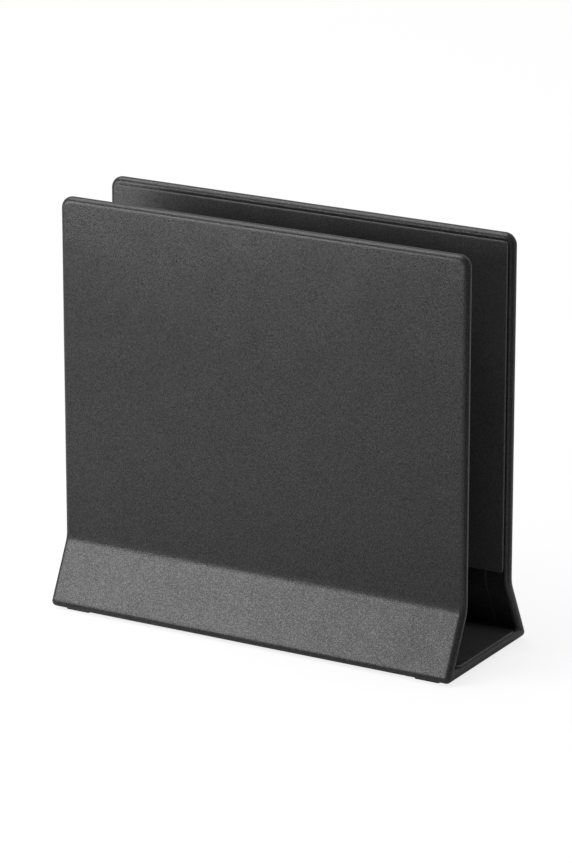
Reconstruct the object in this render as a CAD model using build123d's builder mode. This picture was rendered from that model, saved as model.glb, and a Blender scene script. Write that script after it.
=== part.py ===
from build123d import *

import os
from math import atan2, cos, sin, tan

# A napkin holder: one steel plate bent into an upright slot on a flared foot, wrapped in
# leather with turned-in hems, lined with leather panels and standing on four rubber feet.
# Millimetres, +Z up, +X along the width, +Y to the rear. The origin is the centre of the
# footprint, on the table.

# Outer form
width = 180.0
height = 167.0
wall_half_depth = 20.55  # outer face of an upright wall
base_half_depth = 33.35  # sharp corner of a flare's outer face and the underside
bend_height = 27.0  # sharp corner of a wall's outer face and a flare's
foot_height = 1.0

# Build-up of the wrapped plate, from the outer face inwards
cover_thickness = 1.2
steel_thickness = 2.0
hem_thickness = 1.2
liner_lap = 0.8  # how far a wall or floor liner stands proud of the hem it laps over
steel_face = cover_thickness
recess_face = cover_thickness + steel_thickness
hem_face = recess_face + hem_thickness

# Bends and rounded corners
bend_radius = 10.0  # outer face, on the hollow side of the bend
toe_radius = 2.0  # outer face of the tight bend at the foot
smallest_radius = 0.3
wall_corner_radius = 4.8
rim_radius = 2.1  # where the leather turns round the plate's edges, nearly a full round

# Hems turned in over the steel, and the liners inside them
hem_width = 10.0
wall_liner_margin = 2.3  # left and right of the liner
wall_liner_top_margin = 2.9
wall_liner_bottom = 31.6
wall_liner_radius = 1.2
floor_liner_margin = 0.4
floor_liner_half_depth = 23.0
floor_liner_radius = 2.0
strip_top = 35.0  # a flare liner runs up behind the wall liner to here
strip_end = 21.0  # and round the toe, under the floor liner, to this far from the middle

# Feet
foot_side = 10.8
foot_x = 78.8
foot_y = 24.0
foot_corner_radius = 0.8
foot_chamfer = 0.2

flare_angle = atan2(base_half_depth - wall_half_depth, bend_height - foot_height)
window_half_width = width / 2 - hem_width
window_top = height - hem_width


def corners(depth, top):
    """Corner points (y, z) of the channel's section line, this deep inside the outer face."""
    bend_y = wall_half_depth - depth
    bend_z = bend_height - depth * tan(flare_angle / 2)
    toe_y = base_half_depth - depth * (1 + sin(flare_angle)) / cos(flare_angle)
    toe_z = foot_height + depth
    rear = [(bend_y, top), (bend_y, bend_z), (toe_y, toe_z)]
    front = [(-y, z) for y, z in reversed(rear)]
    return rear + front


def radii(depth):
    """Radii at those corners: with depth the wall bend opens and the toe bend closes."""
    bend = bend_radius + depth
    toe = max(toe_radius - depth, smallest_radius)
    return [bend, toe, toe, bend]


def save(part, name):
    """Label a finished piece and write it to its own STEP file."""
    part.label = name
    export_step(part, f"parts/{name}.step")


os.makedirs("parts", exist_ok=True)

# Steel core: the bent plate that gives the holder its shape
with BuildPart() as steel_core:
    with BuildSketch(Plane.YZ):
        with BuildLine():
            steel_top = height - cover_thickness
            outside = FilletPolyline(*corners(steel_face, steel_top), radius=radii(steel_face))
            inside = FilletPolyline(*corners(recess_face, steel_top), radius=radii(recess_face))
            Line(outside @ 0, inside @ 0)
            Line(outside @ 1, inside @ 1)
        make_face()
    extrude(amount=width / 2 - cover_thickness, both=True)
    top_corners = steel_core.edges().filter_by(Axis.Y).group_by(Axis.Z)[-1]
    fillet(top_corners, radius=wall_corner_radius - cover_thickness)
save(steel_core.part, "steel_core")

# Outer cover: one leather skin over the whole outside, turned in over every edge
with BuildPart() as outer_cover:
    with BuildSketch(Plane.YZ):
        with BuildLine():
            outside = FilletPolyline(*corners(0, height), radius=radii(0))
            inside = FilletPolyline(*corners(hem_face, height), radius=radii(hem_face))
            Line(outside @ 0, inside @ 0)
            Line(outside @ 1, inside @ 1)
        make_face()
    extrude(amount=width / 2, both=True)
    top_corners = outer_cover.edges().filter_by(Axis.Y).group_by(Axis.Z)[-1]
    fillet(top_corners, radius=wall_corner_radius)

    # The rim is every edge of the wrapped plate but the bend lines and the smooth joins
    # where a rounded corner meets the straight edges beside it
    lengthwise = outer_cover.edges().filter_by(Axis.X)
    bend_lines = lengthwise.filter_by(lambda edge: edge.center().Z < height - 1)
    depthwise = outer_cover.edges().filter_by(Axis.Y)
    smooth_joins = depthwise.filter_by(lambda edge: edge.center().Z > bend_height)
    fillet(outer_cover.edges() - bend_lines - smooth_joins, radius=rim_radius)
    add(steel_core.part, mode=Mode.SUBTRACT)

    # Inside the hems the steel is bare until the liners go in
    with BuildSketch(Plane.YZ):
        with BuildLine():
            inside = FilletPolyline(*corners(recess_face, window_top), radius=radii(recess_face))
            Line(inside @ 0, inside @ 1)
        make_face()
    extrude(amount=window_half_width, both=True, mode=Mode.SUBTRACT)
save(outer_cover.part, "outer_cover")

# Liners of the front and the rear half, built once for each side
for name, side in (("front", -1), ("rear", 1)):
    # Local x and y run across and up the wall, and local z points into the slot
    hem_plane = Plane(
        origin=(0, side * (wall_half_depth - hem_face), 0), x_dir=(side, 0, 0), z_dir=(0, -side, 0)
    )
    liner_top = height - wall_liner_top_margin

    # Wall liner: a sheet lapped over the hems, with its back filling the recess inside them
    with BuildPart() as wall_liner:
        with BuildSketch(hem_plane):
            with Locations((0, (wall_liner_bottom + liner_top) / 2)):
                RectangleRounded(
                    width - 2 * wall_liner_margin, liner_top - wall_liner_bottom, wall_liner_radius
                )
        extrude(amount=liner_lap)
        with BuildSketch(hem_plane):
            with Locations((0, (strip_top + window_top) / 2)):
                Rectangle(2 * window_half_width, window_top - strip_top)
        extrude(amount=-hem_thickness)
    save(wall_liner.part, f"{name}_wall_liner")

    # Flare liner: a strip let in flush between the side hems, from behind the wall liner
    # round the bend and the toe to under the floor liner
    with BuildPart() as flare_liner:
        with BuildSketch(Plane.YZ):
            with BuildLine():
                steel_end = (strip_end, foot_height + recess_face)
                slot_end = (strip_end, foot_height + hem_face)
                steel_side = corners(recess_face, strip_top)[:3] + [steel_end]
                slot_side = corners(hem_face, strip_top)[:3] + [slot_end]
                steel_points = [(side * y, z) for y, z in steel_side]
                slot_points = [(side * y, z) for y, z in slot_side]
                steel_line = FilletPolyline(*steel_points, radius=radii(recess_face)[:2])
                slot_line = FilletPolyline(*slot_points, radius=radii(hem_face)[:2])
                Line(steel_line @ 0, slot_line @ 0)
                Line(steel_line @ 1, slot_line @ 1)
            make_face()
        extrude(amount=window_half_width, both=True)
    save(flare_liner.part, f"{name}_flare_liner")

# Floor liner: lapped over the side hems and the flare liners, its back filling the recess
with BuildPart() as floor_liner:
    with BuildSketch(Plane.XY.offset(foot_height + hem_face)):
        RectangleRounded(width - 2 * floor_liner_margin, 2 * floor_liner_half_depth, floor_liner_radius)
    extrude(amount=liner_lap)
    with BuildSketch(Plane.XY.offset(foot_height + hem_face)):
        Rectangle(2 * window_half_width, 2 * strip_end)
    extrude(amount=-hem_thickness)
save(floor_liner.part, "floor_liner")

# Rubber feet, one under each corner
for depth_name, y in (("front", -foot_y), ("rear", foot_y)):
    for width_name, x in (("left", -foot_x), ("right", foot_x)):
        with BuildPart() as foot:
            with BuildSketch():
                with Locations((x, y)):
                    RectangleRounded(foot_side, foot_side, foot_corner_radius)
            extrude(amount=foot_height)
            chamfer(foot.faces().sort_by(Axis.Z)[0].edges(), foot_chamfer)
        save(foot.part, f"foot_{depth_name}_{width_name}")
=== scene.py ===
"""Looks of the leather napkin holder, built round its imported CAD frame. Metres, +Z up."""

from math import atan2, cos, pi, radians, sin, tan

import bmesh
import bpy
import numpy as np
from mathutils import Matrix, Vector, noise


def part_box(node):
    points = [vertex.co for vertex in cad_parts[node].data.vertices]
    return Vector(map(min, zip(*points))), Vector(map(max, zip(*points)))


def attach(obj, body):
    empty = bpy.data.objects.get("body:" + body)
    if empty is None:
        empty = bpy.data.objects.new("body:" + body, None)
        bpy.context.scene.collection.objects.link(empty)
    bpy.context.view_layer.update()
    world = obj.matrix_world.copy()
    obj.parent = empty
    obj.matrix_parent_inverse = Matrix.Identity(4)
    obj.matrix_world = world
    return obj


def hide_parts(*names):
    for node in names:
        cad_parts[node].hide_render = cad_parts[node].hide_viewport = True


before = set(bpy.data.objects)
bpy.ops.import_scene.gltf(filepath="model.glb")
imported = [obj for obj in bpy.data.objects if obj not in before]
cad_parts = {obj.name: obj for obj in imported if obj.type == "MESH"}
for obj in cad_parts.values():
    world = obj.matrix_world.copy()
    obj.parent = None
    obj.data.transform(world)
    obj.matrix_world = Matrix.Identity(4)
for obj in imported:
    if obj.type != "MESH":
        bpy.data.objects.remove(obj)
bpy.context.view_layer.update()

MM = 0.001

# ---------------------------------------------------------------- the holder's section
# The holder's driving sizes, in metres
WIDTH = 180 * MM
TOP = 167.0 * MM
WALL_Y = 20.55 * MM  # outer face of a wall
BASE_Y = 33.35 * MM  # sharp corner of a flare and the underside
BEND_Z = 27.0 * MM  # sharp corner of a wall and a flare
FOOT_HEIGHT = 1.0 * MM
COVER = 1.2 * MM  # leather on the outside
STEEL = 2.0 * MM
HEM = 1.2 * MM
LAP = 0.8 * MM  # how far a wall or floor liner stands proud of the hem
BEND_RADIUS = 10.0 * MM
TOE_RADIUS = 2.0 * MM
LEAST_RADIUS = 0.3 * MM
CORNER_RADIUS = 4.8 * MM
HEM_WIDTH = 10.0 * MM
WALL_PANEL_RADIUS = 1.2 * MM
FLARE_STRIP_RADIUS = 0.3 * MM
FLOOR_PANEL_RADIUS = 2.0 * MM
FLOOR_PANEL_DEPTH = 46.0 * MM
WALL_FILL_INSET = 7.7 * MM  # from a wall panel's edge to the filling at its back
FLOOR_FILL_INSET = 9.0 * MM
STRIP_TUCK = 5.6 * MM  # how far past the toe a flare strip runs under the floor panel

RECESS = COVER + STEEL  # depth of the steel's slot side
PLATE = RECESS + HEM  # depth of the hem's face
RIM = 2.1 * MM  # radius where the leather turns round the plate's edges, nearly a full round
FLARE = atan2(BASE_Y - WALL_Y, BEND_Z - FOOT_HEIGHT)
TOE_TURN = pi / 2 + FLARE


def section_lengths():
    """Lengths on the outer face: wall, bend, flare, toe and half of the floor."""
    bend_cut = BEND_RADIUS * tan(FLARE / 2)
    toe_cut = TOE_RADIUS * tan(TOE_TURN / 2)
    flare = (BEND_Z - FOOT_HEIGHT) / cos(FLARE) - bend_cut - toe_cut
    wall = TOP - BEND_Z - bend_cut
    return [wall, BEND_RADIUS * FLARE, flare, TOE_RADIUS * TOE_TURN, BASE_Y - toe_cut]


LENGTHS = section_lengths()
STATIONS = np.concatenate([[0], np.cumsum(LENGTHS)])
FULL_RUN = 2 * STATIONS[-1]


def on_section(run, depth):
    """Points (y, z) of the rear half: run goes down from the wall's top, depth goes inwards."""
    bend_y = WALL_Y - depth
    bend_z = BEND_Z - depth * tan(FLARE / 2)
    toe_y = BASE_Y - depth * (1 + sin(FLARE)) / cos(FLARE)
    toe_z = FOOT_HEIGHT + depth
    bend_r = BEND_RADIUS + depth
    toe_r = np.maximum(TOE_RADIUS - depth, LEAST_RADIUS)
    bend_cut = bend_r * tan(FLARE / 2)
    toe_cut = toe_r * tan(TOE_TURN / 2)
    part = [np.clip((run - a) / n, 0, 1) for a, n in zip(STATIONS, LENGTHS)]

    flare_start = (bend_y + bend_cut * sin(FLARE), bend_z - bend_cut * cos(FLARE))
    flare_end = (toe_y - toe_cut * sin(FLARE), toe_z + toe_cut * cos(FLARE))
    toe_centre = (flare_end[0] - toe_r * cos(FLARE), flare_end[1] - toe_r * sin(FLARE))
    bend_turn = part[1] * FLARE
    toe_turn = FLARE - part[3] * TOE_TURN
    pieces = [
        (bend_y, TOP - part[0] * (TOP - bend_z - bend_cut)),
        (bend_y + bend_r * (1 - np.cos(bend_turn)), bend_z + bend_cut - bend_r * np.sin(bend_turn)),
        tuple(a + (b - a) * part[2] for a, b in zip(flare_start, flare_end)),
        (toe_centre[0] + toe_r * np.cos(toe_turn), toe_centre[1] + toe_r * np.sin(toe_turn)),
        ((toe_y - toe_cut) * (1 - part[4]), toe_z),
    ]
    which = np.clip(np.searchsorted(STATIONS, run, side="left") - 1, 0, len(pieces) - 1)
    shape = np.broadcast(run, depth).shape
    y, z = (np.choose(which, [np.broadcast_to(p[k], shape) for p in pieces]) for k in (0, 1))
    return y, z


def on_plate(along, across, depth):
    """Frame positions: along runs over the outer face from the front wall's top to the rear's."""
    y, z = on_section(np.minimum(along, FULL_RUN - along), depth)
    return np.stack([across - WIDTH / 2, np.where(along > FULL_RUN / 2, y, -y), z], axis=-1)


# ---------------------------------------------------------------- objects
def link(name, data):
    """A new object with that mesh, light or camera, in the scene."""
    piece = bpy.data.objects.new(name, data)
    bpy.context.scene.collection.objects.link(piece)
    return piece


def face_outwards(work, mesh):
    """Writes the edited mesh back with its normals pointing outwards."""
    bmesh.ops.recalc_face_normals(work, faces=work.faces)
    work.to_mesh(mesh)
    work.free()


# ---------------------------------------------------------------- closed leather skins
ZONE = 12 * MM  # within this distance of a rounded corner the grid lines bend round it


def spread(*stops):
    """Grid lines through the stops, which alternate with the step to use between them. The
    number of gaps is rounded up to a multiple of four."""
    lines = [stops[0]]
    for start, step, end in zip(stops[::2], stops[1::2], stops[2::2]):
        count = max(1, round((end - start) / step))
        lines += [start + (end - start) * k / count for k in range(1, count + 1)]
    while (len(lines) - 1) % 4:
        widest = int(np.argmax(np.diff(lines)))
        lines.insert(widest + 1, (lines[widest] + lines[widest + 1]) / 2)
    return np.array(lines)


def round_corner(inset, share, radius):
    """Distances (along, inwards) from a rounded corner of a point on the ring at this inset.

    share runs from 0 at the corner's middle to 1 at the end of the corner zone."""
    bend = np.maximum(radius - inset, 1e-9)
    eighth = pi * bend / 4
    dist = share * (ZONE - inset - bend + eighth)
    turn = pi / 4 - np.minimum(dist / bend, pi / 4)
    on_arc = dist < eighth
    along = inset + bend + np.where(on_arc, -bend * np.sin(turn), dist - eighth)
    inwards = inset + np.where(on_arc, bend * (1 - np.cos(turn)), 0)
    return along, inwards


def to_outline(u, v, size, radius, inset=None):
    """Bends grid points round the outline's corners, or moves them onto the ring at inset."""
    du, dv = np.minimum(u, size[0] - u), np.minimum(v, size[1] - v)
    near, far = np.minimum(du, dv), np.maximum(du, dv)
    target = near if inset is None else np.full_like(near, inset)
    share = np.clip((far - near) / np.maximum(ZONE - near, 1e-9), 0, 1)
    along, inwards = round_corner(target, share, radius)
    along = np.where(far < ZONE, along, far)
    inwards = np.where(far < ZONE, inwards, target)
    new_du = np.where(du > dv, along, inwards)
    new_dv = np.where(du > dv, inwards, along)
    new_u = np.where(u > size[0] / 2, size[0] - new_du, new_du)
    new_v = np.where(v > size[1] / 2, size[1] - new_dv, new_dv)
    return new_u, new_v


def border_loop(rows, cols):
    """Indices (row, col) round a grid's border, once."""
    there = [(0, c) for c in range(cols - 1)] + [(r, cols - 1) for r in range(rows - 1)]
    back = [(rows - 1, c) for c in range(cols - 1, 0, -1)] + [(r, 0) for r in range(rows - 1, 0, -1)]
    return there + back


def grid_faces(index):
    """Quads of a grid of point numbers."""
    corners = (index[:-1, :-1], index[:-1, 1:], index[1:, 1:], index[1:, :-1])
    return np.stack(corners, -1).reshape(-1, 4).tolist()


def ring_faces(last, this):
    """Quads between two rings of as many point numbers."""
    return np.stack([last, this, np.roll(this, -1), np.roll(last, -1)], -1).tolist()


def quarter_faces(fine, coarse):
    """Faces from a ring of points to one with a quarter as many."""
    closed = np.append(fine, fine[0])
    faces = []
    for k, (a, b) in enumerate(zip(coarse, np.roll(coarse, -1))):
        faces.append([*closed[4 * k : 4 * k + 5][::-1].tolist(), int(a), int(b)])
    return faces


def coarse_grid(shape, ring, spots, first_free):
    """Point numbers of a grid of every fourth line, and which of its points are new.

    The ring's numbers, at those spots (row, col), are on the border, and the new points inside
    it are numbered from first_free on."""
    numbers = np.full(shape, -1)
    for number, spot in zip(ring, spots):
        numbers[spot] = number
    numbers = numbers[::4, ::4]
    inside = numbers < 0
    numbers[inside] = first_free + np.arange(inside.sum())
    return numbers, inside


def drawn_in(values, length, first, inset):
    """Grid positions whose lines started at first, moved so that they start at inset."""
    before = [first, ZONE, length - ZONE, length - first]
    after = [inset, ZONE, length - ZONE, length - inset]
    return np.interp(values, before, after)


def marked_mesh(name, points, marks, faces):
    """A closed mesh with the point attributes cut and wear."""
    mesh = bpy.data.meshes.new(name)
    mesh.from_pydata(points.tolist(), [], faces)
    for mark, values in zip(("cut", "wear"), marks.T):
        mesh.attributes.new(mark, "FLOAT", "POINT").data.foreach_set("value", values)
    work = bmesh.new()
    work.from_mesh(mesh)
    face_outwards(work, mesh)
    return mesh


def press_relief(mesh, shown):
    """Moves the first points of a mesh, those that can be seen, along their normals."""
    cut = mesh.attributes["cut"].data
    moved = [v.co + v.normal * leather_relief(v.co, cut[v.index].value) for v in mesh.vertices[:shown]]
    moved += [v.co for v in mesh.vertices[shown:]]
    mesh.vertices.foreach_set("co", np.array(moved).ravel())


def skin(name, place, size, u_lines, v_lines, radius, face, border, back):
    """A closed skin over a rectangle of that size with rounded corners.

    place maps (u, v, depth) to the frame. face is the depth of its fine grid. border lists the
    rings (inset, depth, cut, wear) that go from the face over the edge, where cut is 1 on a raw
    edge and wear is 1 where hands rub. back lists the rings (inset, depth) underneath, with a
    quarter of the points, and the last of them bounds a coarse grid."""
    loop = border_loop(len(u_lines), len(v_lines))
    index = np.arange(len(u_lines) * len(v_lines)).reshape(len(u_lines), -1)
    grid_u, grid_v = (a.ravel() for a in np.meshgrid(u_lines, v_lines, indexing="ij"))
    points = [place(*to_outline(grid_u, grid_v, size, radius), face)]
    marks = [np.zeros((index.size, 2))]
    faces = grid_faces(index)

    def add_ring(picked, inset, depth, cut, wear):
        start = sum(len(p) for p in points)
        u = u_lines[[r for r, _ in picked]]
        v = v_lines[[c for _, c in picked]]
        points.append(place(*to_outline(u, v, size, radius, inset), depth))
        marks.append(np.tile([cut, wear], (len(picked), 1)))
        return np.arange(start, start + len(picked))

    last = np.array([index[rc] for rc in loop])
    for inset, depth, cut, wear in border:
        this = add_ring(loop, inset, depth, cut, wear)
        faces += ring_faces(last, this)
        last = this
    shown = sum(len(p) for p in points)
    fourth = loop[::4]
    for inset, depth in back:
        this = add_ring(fourth, inset, depth, 1, 0)
        faces += quarter_faces(last, this) if len(last) > len(this) else ring_faces(last, this)
        last = this

    inset, depth = back[-1]
    coarse, inside = coarse_grid(index.shape, last, fourth, sum(len(p) for p in points))
    grid_u, grid_v = (a[inside] for a in np.meshgrid(u_lines[::4], v_lines[::4], indexing="ij"))
    grid_u = drawn_in(grid_u, size[0], u_lines[0], inset)
    grid_v = drawn_in(grid_v, size[1], u_lines[0], inset)
    points.append(place(*to_outline(grid_u, grid_v, size, radius), depth))
    marks.append(np.tile([1, 0], (inside.sum(), 1)))
    faces += [f[::-1] for f in grid_faces(coarse)]

    mesh = marked_mesh(name, np.concatenate(points), np.concatenate(marks), faces)
    press_relief(mesh, shown)
    mesh.shade_smooth()
    return link(name, mesh)


def wander(point, wavelength, seed):
    """Smooth noise, roughly from -1 to 1, with that wavelength."""
    return noise.noise(point / wavelength + Vector((seed, seed * 1.7, seed * 0.3)))


def leather_relief(point, cut):
    """Height, in metres, of the slow waves and soft pebbling of glued leather and of the ragged
    fibres where cut is 1. The heights in the sums are in millimetres."""
    waves = 0.045 * wander(point, 34 * MM, 3) + 0.010 * wander(point, 11 * MM, 11)
    pebbles = 0.003 * wander(point, 2.6 * MM, 23)
    ragged = 0.10 * wander(point, 1.6 * MM, 41) + 0.05 * wander(point, 0.6 * MM, 53)
    return (waves + pebbles * (1 - cut) + ragged * cut) * MM


# ---------------------------------------------------------------- the leather pieces
def outer_cover():
    """One skin over the whole outside, wrapped over every edge and hemmed on the slot side."""
    fine, face_step, bend_step = 0.5 * MM, 1.26 * MM, 0.65 * MM
    wall, bend, flare, toe = STATIONS[1:5]
    down = [RIM, fine, ZONE, face_step, wall, bend_step, bend, face_step, flare, bend_step, toe]
    up = [FULL_RUN - x if k % 2 == 0 else x for k, x in enumerate(down)][::-1]
    along = spread(*down, face_step, *up)
    across = spread(RIM, fine, ZONE, face_step, WIDTH - ZONE, fine, WIDTH - RIM)

    turns = [pi * k / 20 for k in range(1, 11)]
    arc = [(RIM - RIM * sin(turn), RIM - RIM * cos(turn)) for turn in turns]
    border = [(inset, depth, 0, 1 - inset / RIM) for inset, depth in arc]
    border += [(inset, PLATE - depth, 0, 1 - inset / RIM) for inset, depth in arc[::-1]]
    border += [(inset * MM, PLATE, 0, 0) for inset in (2.1, 2.6, 3.2, 4, 5, 6.5, 8, 9, 9.6)]
    border += [(HEM_WIDTH - 0.1 * MM, PLATE - 0.03 * MM, 0.5, 0)]
    border += [(HEM_WIDTH, PLATE - depth * MM, 1, 0) for depth in (0.15, 0.6)]
    snug = 0.2 * MM  # rounding of the skin's inside, round the steel's edge
    back = [(HEM_WIDTH, RECESS), (HEM_WIDTH / 2, RECESS), (COVER + snug, RECESS)]
    back += [(COVER, RECESS - snug), (COVER, COVER + snug), (COVER + snug, COVER)]
    size = (FULL_RUN, WIDTH)
    piece = skin("leather_cover", on_plate, size, along, across, CORNER_RADIUS, 0.0, border, back)
    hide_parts("outer_cover")
    return piece


def liner(name, node, place, size, radius, lap, fill_inset):
    """A leather panel with raw cut edges, its back filling the recess inside the hems.

    lap is how far its face stands proud of the hem: 0 for a strip let in flush. fill_inset is
    how far inside the outline the filling starts."""
    soft = 0.3 * MM if lap else 0.08 * MM  # rounding of the cut edge
    sunk = 0.1 * MM  # how far the edge presses into the hem under it
    fine, face_step, near = 0.45 * MM, 1.05 * MM, ZONE / 2
    lines = [spread(soft, fine, near, face_step, n - near, fine, n - soft) for n in size]
    face = PLATE + lap
    foot = PLATE - sunk if lap else RECESS
    if lap:
        border = [(0.12 * MM, face - 0.05 * MM, 0.3, 0.3), (0.02 * MM, face - 0.16 * MM, 1, 0)]
    else:
        border = [(0, face - 0.08 * MM, 0, 0)]
    border += [(0, (face + foot) / 2, 1, 0)]
    back = [(0, foot), (fill_inset, foot), (fill_inset, RECESS)] if lap else [(0, foot), (soft, foot)]
    piece = skin(name, place, size, *lines, radius, face, border, back)
    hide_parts(node)
    return piece


def wall_liner(side):
    """The panel inside one upright wall, from just under the rim to just above the bend."""
    low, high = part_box(f"{side}_wall_liner")
    size = (high.z - low.z, high.x - low.x)

    def place(u, v, depth):
        along = TOP - high.z + u
        return on_plate(along if side == "front" else FULL_RUN - along, v + low.x + WIDTH / 2, depth)

    name, node = f"{side}_wall_panel", f"{side}_wall_liner"
    return liner(name, node, place, size, WALL_PANEL_RADIUS, LAP, WALL_FILL_INSET)


def flare_liner(side):
    """The strip between the side hems, from behind the wall liner to under the floor liner."""
    low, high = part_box(f"{side}_flare_liner")
    start = TOP - high.z
    size = (STATIONS[4] + STRIP_TUCK - start, high.x - low.x)

    def place(u, v, depth):
        along = start + u
        return on_plate(along if side == "front" else FULL_RUN - along, v + low.x + WIDTH / 2, depth)

    name, node = f"{side}_flare_strip", f"{side}_flare_liner"
    return liner(name, node, place, size, FLARE_STRIP_RADIUS, 0, 0)


def floor_liner():
    """The panel on the floor of the slot."""
    low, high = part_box("floor_liner")
    size = (FLOOR_PANEL_DEPTH, high.x - low.x)

    def place(u, v, depth):
        height = np.broadcast_to(FOOT_HEIGHT + depth, u.shape)
        return np.stack([v + low.x, u - size[0] / 2, height], axis=-1)

    name, node = "floor_panel", "floor_liner"
    return liner(name, node, place, size, FLOOR_PANEL_RADIUS, LAP, FLOOR_FILL_INSET)


# ---------------------------------------------------------------- rubber feet
FOOT_CORNER_RADIUS = 0.8 * MM
CORNER_POINTS = 8


def square_outline(centre, half, radius):
    """Points (x, y) once round a square with rounded corners."""
    bend = max(radius, 0.05 * MM)
    reach = half - bend
    outline = []
    for quarter, (sign_x, sign_y) in enumerate([(1, 1), (-1, 1), (-1, -1), (1, -1)]):
        for k in range(CORNER_POINTS):
            turn = pi / 2 * (quarter + k / (CORNER_POINTS - 1))
            x = centre.x + sign_x * reach + bend * cos(turn)
            y = centre.y + sign_y * reach + bend * sin(turn)
            outline.append((x, y))
    return outline


def rubber_foot(node):
    """A low square pad with rounded corners, a soft lower edge and a sole sunk inside a rim."""
    low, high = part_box(node)
    centre = (low + high) / 2
    half = (high.x - low.x) / 2
    # Rings from the sole's middle outwards and up: inset in millimetres, share of the height
    sole = [(4.0, 0.12), (1.9, 0.11), (1.5, 0.09), (1.3, 0.02), (1.15, 0.0), (0.35, 0.0)]
    side = [(0.12, 0.06), (0.02, 0.22), (0.0, 0.5), (0.03, 0.95), (0.06, 1.0)]
    work = bmesh.new()
    rings = []
    for inset, share in sole + side:
        height = low.z + share * (high.z - low.z)
        outline = square_outline(centre, half - inset * MM, FOOT_CORNER_RADIUS - inset * MM)
        rings.append([work.verts.new((x, y, height)) for x, y in outline])
    work.faces.new(rings[0])
    work.faces.new(rings[-1])
    for inner, outer in zip(rings, rings[1:]):
        around = zip(inner, inner[1:] + inner[:1], outer[1:] + outer[:1], outer)
        for corners in around:
            work.faces.new(corners)
    mesh = bpy.data.meshes.new(node + "_pad")
    face_outwards(work, mesh)
    mesh.shade_smooth()
    piece = link(node + "_pad", mesh)
    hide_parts(node)
    return piece


# ---------------------------------------------------------------- materials
def add(tree, kind, inputs=None, **settings):
    """Adds a shader node; inputs are values or other nodes' output sockets."""
    node = tree.nodes.new("ShaderNode" + kind)
    for key, value in settings.items():
        setattr(node, key, value)
    for key, value in (inputs or {}).items():
        if isinstance(value, bpy.types.NodeSocket):
            tree.links.new(value, node.inputs[key])
        else:
            node.inputs[key].default_value = value
    return node


def maths(tree, operation, *values):
    """The output of a Math node on those values or sockets."""
    return add(tree, "Math", dict(enumerate(values)), operation=operation).outputs[0]


def ramp(tree, value, low, high, out_low=0.0, out_high=1.0, smooth=True):
    """Maps a socket from low..high to out_low..out_high."""
    kind = "SMOOTHSTEP" if smooth else "LINEAR"
    ends = {"Value": value, "From Min": low, "From Max": high, "To Min": out_low, "To Max": out_high}
    return add(tree, "MapRange", ends, interpolation_type=kind).outputs[0]


def scaled(tree, vector, factor):
    """A colour or position times a number."""
    return add(tree, "VectorMath", {0: vector, "Scale": factor}, operation="SCALE").outputs[0]


def times(tree, vector, factors):
    """A position times a number for each axis."""
    return add(tree, "VectorMath", {0: vector, 1: factors}, operation="MULTIPLY").outputs[0]


def bumped(tree, shader, height):
    """Gives the shader a relief of that height in millimetres."""
    bump = add(tree, "Bump", {"Height": height, "Distance": MM, "Strength": 1.0})
    tree.links.new(bump.outputs[0], shader.inputs["Normal"])


def new_material(name):
    """A node material with its Principled shader, and object coordinates in millimetres."""
    material = bpy.data.materials.new(name)
    material.use_nodes = True
    tree = material.node_tree
    shader = tree.nodes["Principled BSDF"]
    coords = add(tree, "TexCoord").outputs["Object"]
    return material, tree, shader, times(tree, coords, (1 / MM,) * 3)


def noise_at(tree, coords, wavelength, detail=2.0, roughness=0.5):
    """Noise of that wavelength, in the coordinates' own unit."""
    inputs = {"Vector": coords, "Scale": 1 / wavelength, "Detail": detail, "Roughness": roughness}
    return add(tree, "TexNoise", inputs).outputs["Fac"]


def strokes(tree, coords, turn, seed):
    """Short wrinkles about 0.3 mm wide and twice as long that run one way, from 0 to 1."""
    turned = add(tree, "Mapping", {"Vector": coords, "Rotation": turn, "Location": (seed, 0, 0)})
    return noise_at(tree, times(tree, turned.outputs[0], (0.5, 1, 1)), 0.32, 0.0)


WRINKLE_HEIGHT = 0.012  # in the materials, heights and wavelengths are in millimetres
PEBBLE_HEIGHT = 0.004
PEBBLE_SIZE = 0.5
FIBRE_HEIGHT = 0.12  # on a cut edge


def grain_height(tree, coords):
    """Height of the leather's grain, and how open each spot is: 0 in a crease, 1 on a pebble. The
    openness sets the painted shade in the creases.
    """
    shift = add(tree, "TexNoise", {"Vector": coords, "Scale": 0.7, "Detail": 1.0}).outputs["Color"]
    half = add(tree, "VectorMath", {0: shift, 1: (0.5, 0.5, 0.5)}, operation="SUBTRACT").outputs[0]
    swirl = {0: half, 1: (1.3, 1.3, 1.3), 2: coords}
    bent = add(tree, "VectorMath", swirl, operation="MULTIPLY_ADD").outputs[0]
    cells = {"Vector": bent, "Scale": 1 / PEBBLE_SIZE}
    cell = add(tree, "TexVoronoi", cells, feature="DISTANCE_TO_EDGE")
    pebble = ramp(tree, cell.outputs["Distance"], 0.0, 0.35)
    leaning = strokes(tree, bent, (0.0, 0.95, 0.2), 0.0)
    crossing = strokes(tree, bent, (0.0, 0.4, -0.3), 40.0)
    wrinkle = ramp(tree, maths(tree, "ADD", leaning, crossing), 0.8, 1.2)
    patches = ramp(tree, noise_at(tree, coords, 24.0), 0.35, 0.68, 0.6, 1.4)
    pebbled = maths(tree, "MULTIPLY", pebble, PEBBLE_HEIGHT)
    rough = maths(tree, "MULTIPLY_ADD", wrinkle, WRINKLE_HEIGHT, pebbled)
    height = maths(tree, "MULTIPLY", rough, patches)
    return height, maths(tree, "MULTIPLY_ADD", wrinkle, 0.65, maths(tree, "MULTIPLY", pebble, 0.35))


RAW_LEATHER = (0.095, 0.092, 0.088)  # colour of the fibres on a cut edge


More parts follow.
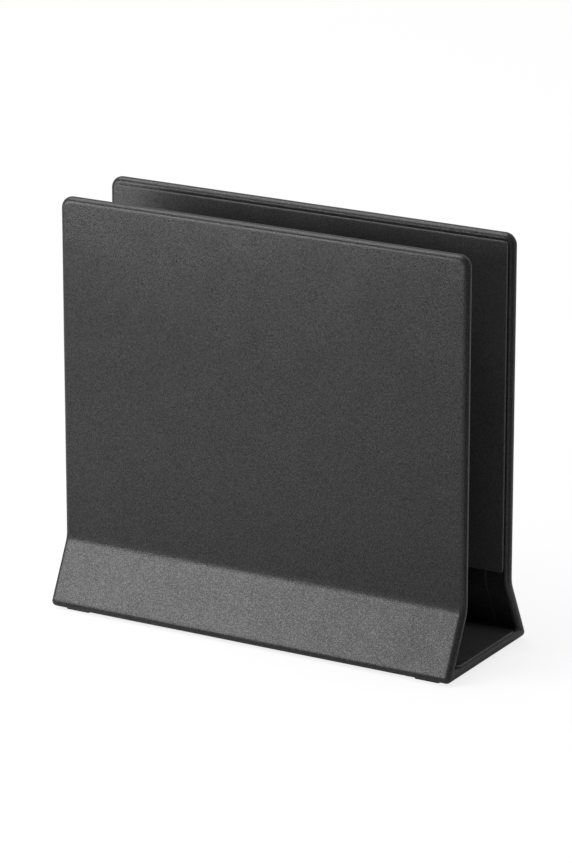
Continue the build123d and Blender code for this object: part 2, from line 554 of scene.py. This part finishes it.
def leather(name, colour, roughness, grain):
    """Black grained leather, glossier where its rims are rubbed, with pale fibres on raw cuts, and
    painted shade in the grain's creases: darker colour and weaker reflection there.

    grain scales the height of the relief."""
    material, tree, shader, coords = new_material(name)
    cut = add(tree, "Attribute", attribute_name="cut").outputs["Fac"]
    wear = add(tree, "Attribute", attribute_name="wear").outputs["Fac"]
    height, openness = grain_height(tree, coords)

    cloud = ramp(tree, noise_at(tree, coords, 17.0, 3.0), 0.3, 0.7, 0.92, 1.08)
    speck = ramp(tree, noise_at(tree, coords, 0.3, 1.0), 0.3, 0.7, 0.82, 1.18, smooth=False)
    # painted shade: the grain's creases are darkened, standing in for the shade that falls in them
    crease_shade = ramp(tree, openness, 0.0, 1.0, 0.75, 1.2, smooth=False)
    tone = maths(tree, "MULTIPLY", maths(tree, "MULTIPLY", cloud, speck), crease_shade)
    fibre = ramp(tree, noise_at(tree, coords, 0.45, 3.0, 0.7), 0.3, 0.7, 0.6, 1.4)
    ends = {"Factor": cut, "A": scaled(tree, colour, tone), "B": scaled(tree, RAW_LEATHER, fibre)}
    base = add(tree, "Mix", ends, data_type="VECTOR")
    tree.links.new(base.outputs["Result"], shader.inputs["Base Color"])

    # painted shade: reflection is weaker in the grain's creases; the extra gloss on the rubbed rims is
    # real wear
    crease_shade_and_wear_sheen = maths(tree, "MULTIPLY", ramp(tree, openness, 0.0, 1.0, 0.24, 0.58, smooth=False), speck)
    crease_shade_and_wear_sheen = maths(tree, "MULTIPLY_ADD", wear, 0.08, crease_shade_and_wear_sheen)
    tree.links.new(crease_shade_and_wear_sheen, shader.inputs["Specular IOR Level"])
    gloss = ramp(tree, noise_at(tree, coords, 6.0, 3.0), 0.3, 0.7, roughness - 0.01, roughness + 0.015)
    gloss = maths(tree, "MULTIPLY_ADD", cut, 0.4, gloss)
    tree.links.new(gloss, shader.inputs["Roughness"])

    fibres = maths(tree, "MULTIPLY", noise_at(tree, coords, 0.3, 3.0, 0.7), FIBRE_HEIGHT)
    relief = {"Factor": cut, "A": maths(tree, "MULTIPLY", height, grain), "B": fibres}
    bumped(tree, shader, add(tree, "Mix", relief).outputs["Result"])
    return material


def steel():
    """Mill-finish steel sheet: fine rolling lines and a faint blue-grey cloudiness."""
    material, tree, shader, coords = new_material("mill_steel")
    lines = noise_at(tree, times(tree, coords, (0.02, 1.0, 1.0)), 0.4, 4.0, 0.6)
    cloud = noise_at(tree, coords, 30.0, 3.0)
    tone = ramp(tree, cloud, 0.3, 0.7, 0.85, 1.1)
    tree.links.new(scaled(tree, (0.36, 0.36, 0.37), tone), shader.inputs["Base Color"])
    shader.inputs["Metallic"].default_value = 1.0
    tree.links.new(ramp(tree, lines, 0.3, 0.7, 0.3, 0.45), shader.inputs["Roughness"])
    bumped(tree, shader, maths(tree, "MULTIPLY", lines, 0.01))
    return material


def rubber():
    """Matt black rubber with a fine moulded texture and a little dust."""
    material, tree, shader, coords = new_material("foot_rubber")
    fine = noise_at(tree, coords, 0.25, 3.0, 0.6)
    dust = ramp(tree, noise_at(tree, coords, 2.5, 4.0, 0.65), 0.45, 0.75, 1.0, 1.7)
    tree.links.new(scaled(tree, (0.017, 0.017, 0.018), dust), shader.inputs["Base Color"])
    tree.links.new(ramp(tree, fine, 0.3, 0.7, 0.62, 0.8), shader.inputs["Roughness"])
    bumped(tree, shader, maths(tree, "MULTIPLY", fine, 0.04))
    return material


# ---------------------------------------------------------------- studio
def board(name, corners):
    """A flat board with four corners."""
    mesh = bpy.data.meshes.new(name)
    mesh.from_pydata(corners, [], [(0, 1, 2, 3)])
    piece = link(name, mesh)
    return piece


def level_plane(name, height):
    """A wide level plane at that height."""
    reach = 6.0
    corners = [(-reach, -reach), (reach, -reach), (reach, reach), (-reach, reach)]
    return board(name, [(x, y, height) for x, y in corners])


def matt(name, grey):
    """A plain matt material of that grey, with its node tree and shader."""
    material, tree, shader, _ = new_material(name)
    shader.inputs["Base Color"].default_value = (grey, grey, grey, 1)
    shader.inputs["Roughness"].default_value = 0.9
    return material, tree, shader


def lit_floor():
    """The floor as the light meets it: pale, and dark under the holder and in its shadow."""
    piece = level_plane("lit_floor", 0)
    piece.visible_camera = False
    material, _, shader = matt("studio_pale", 0.59)
    shader.inputs["Specular IOR Level"].default_value = 0.1
    piece.data.materials.append(material)


def seen_floor():
    """The floor as the picture shows it: overexposed to white, with a faint soft shadow.

    From below it can be seen through, so that the feet can be looked at."""
    piece = level_plane("seen_floor", 0.02 * MM)
    piece.visible_diffuse = False
    piece.visible_glossy = False
    piece.visible_transmission = False
    piece.visible_shadow = False
    material, tree, shader = matt("studio_white", 0.17)
    shader.inputs["Emission Color"].default_value = (1, 1, 1, 1)
    shader.inputs["Emission Strength"].default_value = 0.81
    shader.inputs["Specular IOR Level"].default_value = 0.1
    behind = add(tree, "NewGeometry").outputs["Backfacing"]
    clear = add(tree, "BsdfTransparent").outputs[0]
    mixed = add(tree, "MixShader", {0: behind, 1: shader.outputs[0], 2: clear})
    tree.links.new(mixed.outputs[0], tree.nodes["Material Output"].inputs["Surface"])
    piece.data.materials.append(material)


def softbox(name, place, aim, width, height, radiance):
    """A rectangular area light at place, turned towards aim."""
    light = bpy.data.lights.new(name, "AREA")
    light.shape = "RECTANGLE"
    light.size = width
    light.size_y = height
    light.energy = pi * width * height * radiance
    lamp = link(name, light)
    lamp.location = place
    lamp.rotation_mode = "QUATERNION"
    lamp.rotation_quaternion = (Vector(aim) - Vector(place)).to_track_quat("-Z", "Y")
    lamp.visible_camera = False


def studio():
    """White surroundings, a broad panel overhead, a low softbox in front and a grey card."""
    world = bpy.data.worlds.new("studio")
    world.use_nodes = True
    world.node_tree.nodes["Background"].inputs["Color"].default_value = (1, 1, 1, 1)
    world.node_tree.nodes["Background"].inputs["Strength"].default_value = 0.50
    bpy.context.scene.world = world
    bpy.context.scene.view_settings.view_transform = "Standard"
    grey_card()
    softbox(
        "overhead_panel",
        place=(-1.2, -0.3, 2.2),
        aim=(-1.2, -0.3, 0),
        width=2.4,
        height=2.4,
        radiance=3.1,
    )
    softbox(
        "low_softbox",
        place=(-0.205, -0.31, 0.175),
        aim=(0, 0, 0.03),
        width=0.36,
        height=0.17,
        radiance=5.8,
    )


def grey_card():
    """A grey card standing just right of the picture, which darkens the right-hand rims."""
    azimuth, aside = radians(30), 0.128  # the card's direction, and how far right of the axis
    nearest, farthest, height = -0.7, -0.045, 0.6
    corners = []
    for along, z in ((nearest, MM), (farthest, MM), (farthest, height), (nearest, height)):
        x = aside * cos(azimuth) - along * sin(azimuth)
        y = aside * sin(azimuth) + along * cos(azimuth)
        corners.append((x, y, z))
    card = board("grey_card", corners)
    card.visible_camera = False
    card.visible_diffuse = False
    card.visible_shadow = False
    card.data.materials.append(matt("card_grey", 0.2)[0])


def camera():
    """A long lens from the front right, a little above."""
    azimuth, elevation, distance = radians(29.99), radians(17.57), 1.7549
    aim = Vector((0, 0, 79.4 * MM))
    back = Vector((sin(azimuth) * cos(elevation), -cos(azimuth) * cos(elevation), sin(elevation)))
    data = bpy.data.cameras.new("camera")
    data.sensor_width = 36
    data.lens = 187.8
    data.clip_start, data.clip_end = 0.1, 50
    body = link("camera", data)
    body.location = aim + back * distance
    body.rotation_mode = "QUATERNION"
    body.rotation_quaternion = (-back).to_track_quat("-Z", "Y")
    bpy.context.scene.camera = body


# ---------------------------------------------------------------- the whole scene
def main():
    cover_leather = leather("cover_leather", (0.0115, 0.0115, 0.0116), 0.30, 1.0)
    liner_leather = leather("liner_leather", (0.040, 0.040, 0.0403), 0.38, 0.8)
    # painted shade: the flare strips get a darker copy of the liner leather for the shadowed inside of
    # the slot
    shaded_liner_leather = leather("shaded_liner_leather", (0.0125, 0.0125, 0.0126), 0.30, 1.0)
    foot_rubber = rubber()

    dressed = [(outer_cover(), cover_leather, "cover_leather")]
    for side in ("front", "rear"):
        dressed.append((wall_liner(side), liner_leather, "liner_leather"))
        dressed.append((flare_liner(side), shaded_liner_leather, "liner_leather"))
    dressed.append((floor_liner(), liner_leather, "liner_leather"))
    for node in sorted(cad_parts):
        if node.startswith("foot_"):
            dressed.append((rubber_foot(node), foot_rubber, "foot_rubber"))
    for piece, material, slot in dressed:
        piece.data.materials.append(material)
        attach(piece, "root")

    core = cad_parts["steel_core"]
    core.data.materials.clear()
    core.data.materials.append(steel())

    lit_floor()
    seen_floor()
    studio()
    camera()


main()
